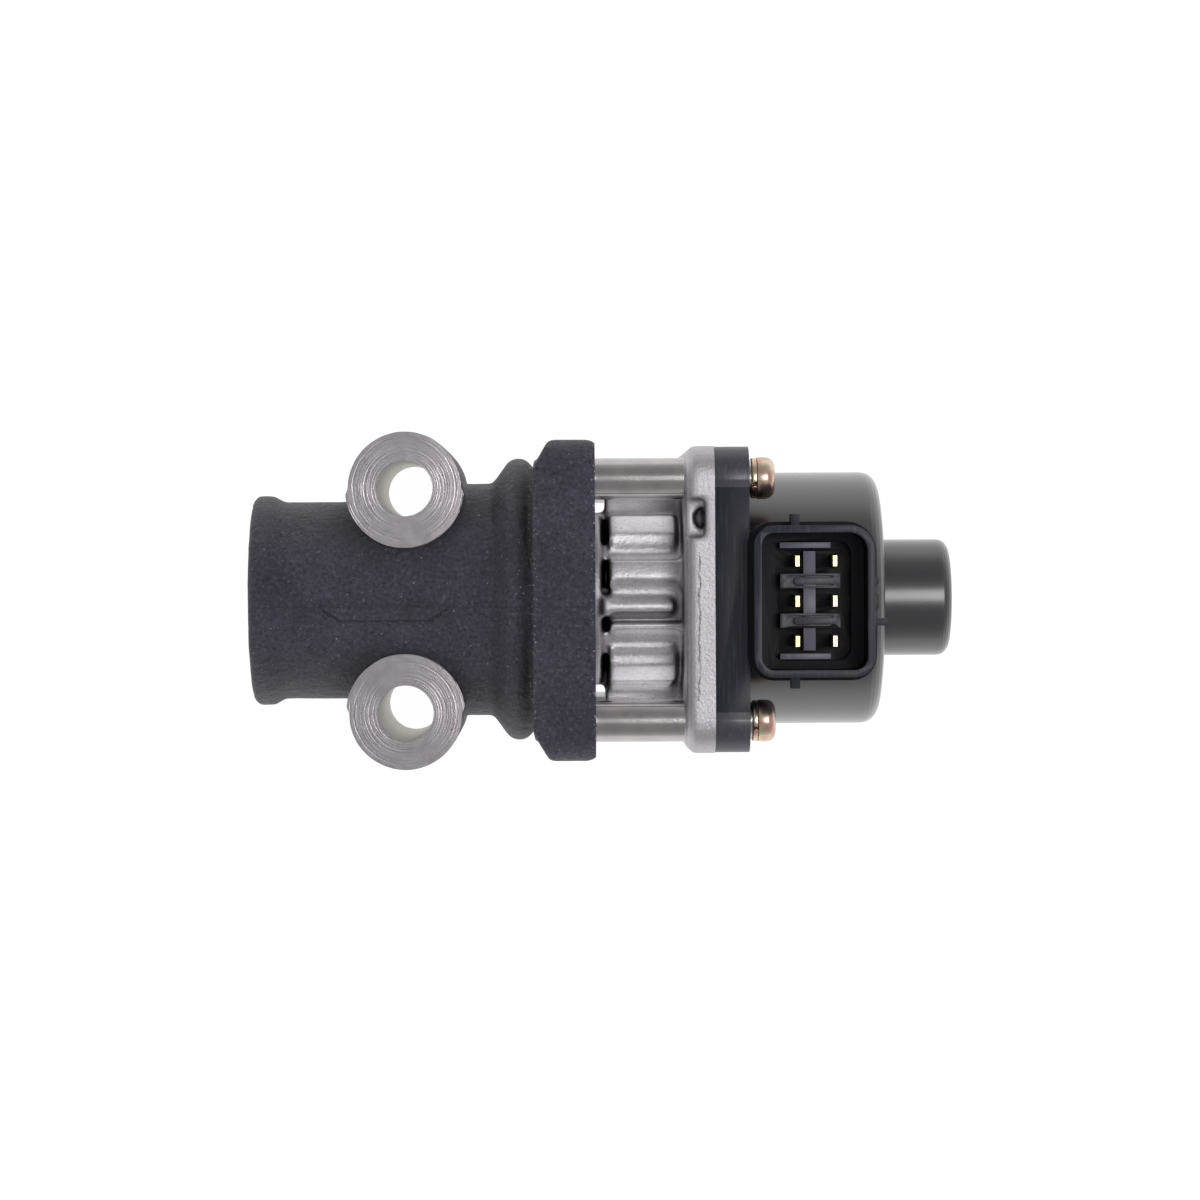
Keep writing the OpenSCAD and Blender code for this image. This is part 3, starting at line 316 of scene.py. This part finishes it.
FINISHES = {
    "black_casting": black_casting(),
    "plated_plug": plain_finish("zinc_plated_sheet", "#9b9b99", "#aaa9a6", 1.0, 0.4, 0.5, 0.02),
    "stainless_steel": plain_finish("turned_stainless", "#a09da1", "#b0adb0", 1.0, 0.3, 0.3, 0.01),
    "bronze": plain_finish("sintered_bronze", "#a37e4c", "#b98f5a", 1.0, 0.5, 0.3, 0.03),
    "seal_rubber": plain_finish("black_seal_rubber", "#1c1c1b", "#252524", 0.0, 0.6, 0.4, 0.02),
    "die_cast_aluminium": blasted_aluminium(),
    "spring_steel": plain_finish("drawn_spring_wire", "#8f8f92", "#a2a2a5", 1.0, 0.3, 0.4, 0.01),
    "pressed_steel": plain_finish("pressed_steel_sheet", "#9a9893", "#a9a7a2", 1.0, 0.4, 0.5, 0.02),
    "plated_tube": plain_finish("bright_plated_tube", "#b4b0b2", "#bfbab9", 1.0, 0.2, 0.5, 0.01),
    "yellow_zinc": yellow_zinc(),
    "moulded_plastic": moulded_plastic("moulded_plastic", "#191929", "#3a3a4b", level=0.42),
    "black_can": black_can_coat(),
    "bearing_steel": plain_finish("ground_bearing_steel", "#aeaeb0", "#bcbcbe", 1.0, 0.2, 0.3, 0.005),
    "nut_brass": plain_finish("turned_brass", "#b89a58", "#c6aa6a", 1.0, 0.3, 0.3, 0.01),
    "magnet_ferrite": plain_finish("pressed_ferrite", "#3f3c39", "#4a4744", 0.0, 0.7, 0.4, 0.04),
    "bobbin_nylon": plain_finish("natural_nylon", "#d6d0be", "#e0dbcb", 0.0, 0.45, 0.6, 0.02),
    "enamelled_copper": plain_finish("enamelled_wire", "#9c4c28", "#b05c34", 1.0, 0.3, 0.3, 0.05),
    "pin_gold": plain_finish("tinned_gold_pin", "#d9c48a", "#e6d7a6", 1.0, 0.25, 0.3, 0.005),
}
MACHINED = machined_iron()
# Painted shade: a dark finish for the raised pad's faces turned towards -Y
PAD_EDGE_PAINTED_SHADE = plain_finish("pad_edge_painted_shade", "#1b1a22", "#22212a", 0.0, 0.6, 0.6, 0.02)
# The bore walls' olive tint is a painted reflection colour; their brightness is real reflection
DRILLED = plain_finish("drilled_iron", "#7b7764", "#949079", 1.0, 0.35, 0.6, 0.02)
# Painted shade: a darker, less glossy copy of the plastic for the deep socket
SOCKET_PAINTED_SHADE = moulded_plastic("socket_core_painted_shade", "#0f0e15", "#1c1b24", level=0.12)
# Painted light: lighter copies of the plastic for the raised bars and pads in the socket
SOCKET_BARS_PAINTED_LIGHT = moulded_plastic("socket_bars", "#34323d", "#4b4955")
SOCKET_PADS_PAINTED_LIGHT = moulded_plastic("socket_pads_painted_light", "#676576", "#7a7888")
# Painted highlight: a lighter and glossier copy of the plastic for the flange's ears
EARS_PAINTED_HIGHLIGHT = moulded_plastic("ears_painted_highlight", "#2c2c38", "#474754", roughness=0.38, level=0.9)


def dress_nodes():
    """Gives every node the finish of its slot in the record."""
    for row in frame["record"]["subparts"]:
        node = frame["nodes"][row["node"]]
        node.data.materials.clear()
        node.data.materials.append(FINISHES[row["material_slot"]])


# Modelling helpers
def only(*pieces):
    """Makes these the only selected objects and the first one active."""
    bpy.ops.object.select_all(action="DESELECT")
    for piece in pieces:
        piece.select_set(True)
    bpy.context.view_layer.objects.active = pieces[0]


def exact_copy(node, name):
    """A copy of a node's mesh, and its finish, with its loose triangles merged."""
    piece = bpy.data.objects.new(name, frame["nodes"][node].data.copy())
    bpy.context.scene.collection.objects.link(piece)
    only(piece)
    bpy.ops.mesh.customdata_custom_splitnormals_clear()
    bpy.ops.object.mode_set(mode="EDIT")
    bpy.ops.mesh.select_all(action="SELECT")
    bpy.ops.mesh.remove_doubles(threshold=0.001 * MM)
    bpy.ops.object.mode_set(mode="OBJECT")
    return piece


def modify(piece, kind, **settings):
    """Adds a modifier to the piece and applies it."""
    only(piece)
    modifier = piece.modifiers.new(kind, kind)
    for name, value in settings.items():
        setattr(modifier, name, value)
    bpy.ops.object.modifier_apply(modifier=modifier.name)


def rod(start, direction, length, radius, sides=96):
    """A round bar from start along direction."""
    turn = UP.rotation_difference(direction).to_euler()
    bpy.ops.object.select_all(action="DESELECT")
    bpy.ops.mesh.primitive_cylinder_add(
        vertices=sides, radius=radius, depth=length, location=start + direction * length / 2, rotation=turn)
    bpy.ops.object.transform_apply()
    return bpy.context.object


def block(low, high):
    """A box between two corners."""
    bpy.ops.object.select_all(action="DESELECT")
    bpy.ops.mesh.primitive_cube_add(size=1, location=(low + high) / 2, scale=high - low)
    bpy.ops.object.transform_apply()
    return bpy.context.object


def cut(piece, tool):
    """Takes the tool's space out of the piece, and removes the tool."""
    modify(piece, "BOOLEAN", operation="DIFFERENCE", object=tool, solver="MANIFOLD")
    bpy.data.objects.remove(tool)


def push(piece, test, move):
    """Moves the vertices that pass the test."""
    only(piece)
    bpy.ops.object.mode_set(mode="EDIT")
    bpy.ops.mesh.select_mode(type="VERT")
    bpy.ops.mesh.select_all(action="DESELECT")
    bpy.ops.object.mode_set(mode="OBJECT")
    for vertex in piece.data.vertices:
        vertex.select = test(vertex.co)
    bpy.ops.object.mode_set(mode="EDIT")
    bpy.ops.transform.translate(value=move)
    bpy.ops.object.mode_set(mode="OBJECT")


def paint(piece, finish, test):
    """Gives a finish to the faces whose centre and normal pass the test."""
    piece.data.materials.append(finish)
    index = len(piece.data.materials) - 1
    for face in piece.data.polygons:
        if test(face.center, face.normal):
            face.material_index = index


def settle(piece, node, body):
    """Puts a finished piece on its body in place of its node."""
    only(piece)
    bpy.ops.object.shade_smooth_by_angle(angle=math.radians(35))
    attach(piece, body)
    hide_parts(node)


def cast_skin(piece, node, plugs, voxel, rounds, unevenness):
    """Turns an exact copy into a casting: rounded edges and corners, uneven skin, bores as they were."""
    for plug in plugs:
        fill = rod(*plug)
        only(piece, fill)
        bpy.ops.object.join()
    modify(piece, "REMESH", mode="VOXEL", voxel_size=voxel)
    modify(piece, "SMOOTH", factor=0.5, iterations=rounds)
    for size, height in unevenness:
        texture = bpy.data.textures.new(f"{piece.name}_skin", "CLOUDS")
        texture.noise_scale = size * MM
        modify(piece, "DISPLACE", texture=texture, strength=height * MM, mid_level=0.5,
               texture_coords="LOCAL")
    for plug in plugs:
        air = rod(*plug)
        cut(air, exact_copy(node, "exact"))
        cut(piece, air)


def cast_body():
    """The iron casting, with its machined faces cut back into the cast skin."""
    spare = 1.5 * MM
    body = exact_copy("valve_body", "cast_body")
    push(body, lambda v: v.z < 0.01 * MM, (0, 0, -spare))
    push(body, lambda v: abs(v.z - boss_top) < 0.01 * MM and abs(v.x) < spot_r + 0.1 * MM, (0, 0, spare))
    push(body, lambda v: v.x > flange_right - 0.01 * MM, (spare, 0, 0))
    plugs = [(Vector((body_low.x - spare, 0, axis_z)), ALONG, flange_right - body_low.x + 3 * spare, 14.2 * MM)]
    for side in (-1, 1):
        plugs.append((Vector((0, side * bolt_y, -2 * spare)), UP, boss_top + 4 * spare, bolt_r + spare / 2))
        plugs.append((Vector((side * 9 * MM, 0, -2 * spare)), UP, axis_z, 6.3 * MM))
        for height in (-1, 1):
            plugs.append((Vector((flange_right - 10 * MM, side * screw_y, axis_z + height * screw_y)),
                          ALONG, 10 * MM + 2 * spare, 3 * MM))
    cast_skin(body, "valve_body", plugs, 0.45 * MM, 6, [(7, 0.16), (1.8, 0.08)])
    far = 100 * MM
    cut(body, block(Vector((-far, -far, -far)), Vector((far, far, 0))))
    cut(body, block(Vector((flange_right, -far, -far)), Vector((far, far, far))))
    cut(body, block(Vector((-far, -far, -far)), Vector((body_low.x, far, far))))
    cut(body, block(Vector((-far, body_high.y, -far)), Vector((far, far, far))))
    cut(body, block(Vector((-far, -far, -far)), Vector((far, body_low.y, far))))
    for side in (-1, 1):
        cut(body, rod(Vector((0, side * bolt_y, boss_top)), UP, far, spot_r))
    pad = exact_copy("valve_body", "raised_pad")
    field = block(Vector((-13.7, -3.08, 42)) * MM, Vector((7.2, -0.82, 50)) * MM)
    push(field, lambda v: v.y < -3 * MM and v.x < 0, (3.6 * MM, 0, 0))
    push(field, lambda v: v.y < -3 * MM and v.x > 0, (-3.6 * MM, 0, 0))
    modify(pad, "BOOLEAN", operation="INTERSECT", object=field, solver="MANIFOLD")
    bpy.data.objects.remove(field)
    modify(pad, "BEVEL", width=0.25 * MM, segments=1, limit_method="ANGLE", angle_limit=math.radians(40))
    modify(body, "BOOLEAN", operation="UNION", object=pad, solver="MANIFOLD")
    bpy.data.objects.remove(pad)
    body.data.materials.clear()
    body.data.materials.append(FINISHES["black_casting"])
    for face in body.data.polygons:
        face.material_index = 0

    def drilled(centre, normal):
        across = Vector((centre.x, abs(centre.y) - bolt_y, 0)).length
        return across < bolt_r + 0.05 * MM and abs(normal.z) < 0.5

    def machined(centre, normal):
        across = Vector((centre.x, abs(centre.y) - bolt_y, 0)).length
        boss_face = abs(centre.z - boss_top) < 0.02 * MM and normal.z > 0.98 and across < spot_r + MM
        foot_face = centre.z < 0.01 * MM
        flange_face = centre.x > flange_right - 0.01 * MM
        return boss_face or foot_face or flange_face

    # Painted shade on the pad's faces that turn towards -Y
    paint(body, PAD_EDGE_PAINTED_SHADE, lambda c, n: -13.9 * MM < c.x < 7.4 * MM and -3.3 * MM < c.y < -0.6 * MM
          and c.z > axis_z + 15 * MM and n.y < -0.35)
    paint(body, MACHINED, machined)
    # Bore walls, with their painted olive reflection tint
    paint(body, DRILLED, drilled)
    settle(body, "valve_body", "housing")


# Hollows that give the holder's ribs their wavy section: place across the axis, radius, depth
WAVES = ((9.7, 2.4, 0.9), (7.3, 1.1, 1.5), (1.5, 2.0, 1.5), (-2.9, 1.0, 1.3), (-6.2, 1.6, 1.5), (-9.7, 2.4, 0.9))


def cast_holder():
    """The die-cast holder with blasted, rounded ribs, its two faces machined flat."""
    spare = 1.5 * MM
    far = 100 * MM
    holder = exact_copy("motor_holder", "ribbed_holder")
    push(holder, lambda v: v.x > holder_high.x - 0.01 * MM, (spare, 0, 0))
    push(holder, lambda v: v.x < holder_low.x + 0.01 * MM, (-spare, 0, 0))
    plugs = []
    for side in (-1, 1):
        for height in (-1, 1):
            plugs.append((Vector((holder_high.x - 7 * MM, side * screw_y, axis_z + height * screw_y)),
                          ALONG, 7 * MM + 2 * spare, 3 * MM))
    start = holder_low.x + 2.5 * MM
    for y, radius, depth in WAVES:
        y, radius, depth = y * MM, radius * MM, depth * MM
        rise = math.sqrt((15.2 * MM) ** 2 - y ** 2) + radius - depth
        for way in (-1, 1):
            cut(holder, rod(Vector((start, y, axis_z + way * rise)), ALONG, 11.3 * MM, radius, 48))
    cast_skin(holder, "motor_holder", plugs, 0.3 * MM, 26, [(2.5, 0.05)])
    cut(holder, block(Vector((holder_high.x, -far, -far)), Vector((far, far, far))))
    cut(holder, block(Vector((-far, -far, -far)), Vector((holder_low.x, far, far))))
    holder.data.materials.clear()
    holder.data.materials.append(FINISHES["die_cast_aluminium"])
    for face in holder.data.polygons:
        face.material_index = 0
    settle(holder, "motor_holder", "housing")


def moulded_housing():
    """The plastic flange and connector, with the broken edges of a moulding, painted shade inside the socket,
    painted light on its bars and pads and a painted highlight on the ears.
    """
    housing = exact_copy("motor_housing", "flange_and_connector")
    bpy.ops.object.mode_set(mode="EDIT")
    bpy.ops.mesh.select_all(action="SELECT")
    bpy.ops.mesh.dissolve_limited(angle_limit=math.radians(1))
    bpy.ops.object.mode_set(mode="OBJECT")
    modify(housing, "BEVEL", width=0.18 * MM, segments=2, limit_method="ANGLE", angle_limit=math.radians(40))
    mouth = housing_high.z
    inner_low, inner_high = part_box("terminal_pin_1")[0].x - 7.5 * MM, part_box("terminal_pin_6")[1].x + 5.5 * MM
    # Painted shade over the inside of the socket
    paint(housing, SOCKET_PAINTED_SHADE, lambda c, n: c.z > mouth - 11.2 * MM and c.z < mouth - 0.4 * MM
          and inner_low < c.x < inner_high and abs(c.y) < 11.1 * MM)
    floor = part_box("terminal_pin_1")[1].z - 7.4 * MM
    middle = (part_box("terminal_pin_1")[0].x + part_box("terminal_pin_6")[1].x) / 2
    ledge = mouth - 8 * MM
    # Painted light on the pads at the ledge
    paint(housing, SOCKET_PADS_PAINTED_LIGHT, lambda c, n: abs(c.z - ledge) < 0.1 * MM and n.z > 0.9
          and -1.8 * MM < c.x - middle < 0.5 * MM and abs(c.y) < 9.1 * MM)
    # Painted light on the raised bars
    paint(housing, SOCKET_BARS_PAINTED_LIGHT, lambda c, n: floor < c.z < mouth - 4 * MM and n.z > 0.9
          and -5.6 * MM < c.x - middle < 4.4 * MM and abs(abs(c.y) - 3.15 * MM) < 0.9 * MM)
    # Large faces at the ledge go back to the socket's painted shade
    for face in housing.data.polygons:
        if abs(face.center.z - ledge) < 0.1 * MM and face.area > 40 * MM ** 2:
            face.material_index = 1
    # Painted highlight on the flange's ears
    paint(housing, EARS_PAINTED_HIGHLIGHT, lambda c, n: c.x < can_low.x and min(abs(c.y), abs(c.z - axis_z)) > 17.6 * MM
          and abs(n.x) < 0.5)
    settle(housing, "motor_housing", "housing")


def rolled_fasteners():
    """Screws and split washers with the rounded edges of rolled wire and a forged head."""
    for i in range(1, 5):
        for kind, width in (("screw", 0.3), ("lock_washer", 0.3)):
            piece = exact_copy(f"{kind}_{i}", f"rolled_{kind}_{i}")
            modify(piece, "BEVEL", width=width * MM, segments=3, limit_method="ANGLE",
                   angle_limit=math.radians(50))
            settle(piece, f"{kind}_{i}", "housing")


def coil_spring():
    """The return spring as one smooth wire at one fixed length; in the valve the spring holder squeezes it as the
    valve opens.
    """
    low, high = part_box("return_spring")
    wire = 0.7 * MM
    curve = bpy.data.curves.new("return_spring_wire", "CURVE")
    curve.dimensions = "3D"
    curve.bevel_depth = wire
    curve.bevel_resolution = 4
    curve.use_fill_caps = True
    count = 109
    turns = 4.5
    radius = (high.z - low.z) / 2 - wire
    middle = (high.z + low.z) / 2
    flat = 0.16
    rise = 2.2 * wire / (high.x - low.x - 2 * wire)
    spline = curve.splines.new("POLY")
    spline.points.add(count - 1)
    for k in range(count):
        t = k / (count - 1)
        if t < flat:
            share = rise * t / flat
        elif t > 1 - flat:
            share = 1 - rise * (1 - t) / flat
        else:
            share = rise + (1 - 2 * rise) * (t - flat) / (1 - 2 * flat)
        angle = 2 * math.pi * turns * t
        spline.points[k].co = (low.x + wire + share * (high.x - low.x - 2 * wire),
                               radius * math.sin(angle), middle - radius * math.cos(angle), 1)
    piece = bpy.data.objects.new("smooth_spring", curve)
    bpy.context.scene.collection.objects.link(piece)
    only(piece)
    bpy.ops.object.convert(target="MESH")
    piece = bpy.context.object
    piece.data.materials.clear()
    piece.data.materials.append(FINISHES["spring_steel"])
    settle(piece, "return_spring", "housing")
    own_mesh(piece)


# Floor, world and lamp
def plain_floor():
    bpy.ops.object.select_all(action="DESELECT")
    bpy.ops.mesh.primitive_plane_add(size=6, location=(0, 0, -0.5 * MM))
    floor = bpy.context.object
    floor.name = "floor"
    bpy.ops.object.transform_apply()
    material = bpy.data.materials.new("pale_floor")
    material.use_nodes = True
    tree = material.node_tree
    tree.nodes.clear()
    rays = add(tree, "LightPath")
    seen = add(tree, "Math", {0: rays.outputs["Is Camera Ray"], 1: rays.outputs["Is Glossy Ray"]},
               operation="MAXIMUM")
    seen = add(tree, "Math", {0: seen.outputs["Value"], 1: rays.outputs["Is Transmission Ray"]},
               operation="MAXIMUM")
    share = add(tree, "Math", {0: seen.outputs["Value"], 1: 0.9}, operation="MULTIPLY")
    matt = add(tree, "BsdfDiffuse", {"Color": (0.9, 0.9, 0.9, 1)})
    white = add(tree, "Emission", {"Strength": 1.1})
    mix = add(tree, "MixShader", {0: share.outputs["Value"], 1: matt.outputs["BSDF"],
                                  2: white.outputs["Emission"]})
    add(tree, "OutputMaterial", {"Surface": mix.outputs["Shader"]})
    floor.data.materials.append(material)


def soft_room():
    """White all round for the camera, even light for matt surfaces, a dimmer zenith for reflections."""
    world = bpy.data.worlds.new("soft_room")
    bpy.context.scene.world = world
    world.use_nodes = True
    tree = world.node_tree
    tree.nodes.clear()
    rays = add(tree, "LightPath")
    way = add(tree, "SeparateXYZ", {"Vector": add(tree, "TexCoord").outputs["Generated"]})
    dome = add(tree, "ValToRGB", {"Fac": way.outputs["Z"]})
    steps = dome.color_ramp.elements
    for place, level in ((0.25, 0.62), (0.6, 0.4), (0.95, 0.36)):
        step = steps.new(place)
        step.color = (level, level, level, 1)
    steps[0].color = (1, 1, 1, 1)
    steps[len(steps) - 1].color = (0.33, 0.33, 0.36, 1)
    mirrored = add(tree, "Math", {0: rays.outputs["Is Glossy Ray"], 1: rays.outputs["Is Transmission Ray"]},
                   operation="MAXIMUM")
    side = add(tree, "Math", {0: way.outputs["X"]}, operation="ABSOLUTE")
    side = add(tree, "Math", {0: side.outputs["Value"], 1: way.outputs["Z"]}, operation="MULTIPLY")
    side = add(tree, "Math", {0: side.outputs["Value"], 1: 0.5, 2: dome.outputs["Color"]}, operation="MULTIPLY_ADD")
    lit = add(tree, "Mix", {"Factor": mirrored.outputs["Value"], "A": 0.76, "B": side.outputs["Value"]})
    level = add(tree, "Mix", {"Factor": rays.outputs["Is Camera Ray"], "A": lit.outputs["Result"], "B": 1.0})
    sky = add(tree, "Background", {"Strength": level.outputs["Result"]})
    add(tree, "OutputWorld", {"Surface": sky.outputs["Background"]})


def overhead_lamp():
    lamp = bpy.data.lights.new("overhead", "AREA")
    lamp.shape = "RECTANGLE"
    lamp.size = 0.3
    lamp.size_y = 0.34
    lamp.energy = 2.6
    holder = bpy.data.objects.new("overhead", lamp)
    holder.location = (0.3, 0.07, 0.95)
    holder.rotation_euler = (0, math.radians(16), 0)
    bpy.context.scene.collection.objects.link(holder)


bpy.context.scene.view_settings.view_transform = "Standard"
set_camera()
plain_floor()
soft_room()
overhead_lamp()
dress_nodes()
cast_body()
cast_holder()
moulded_housing()
rolled_fasteners()
coil_spring()
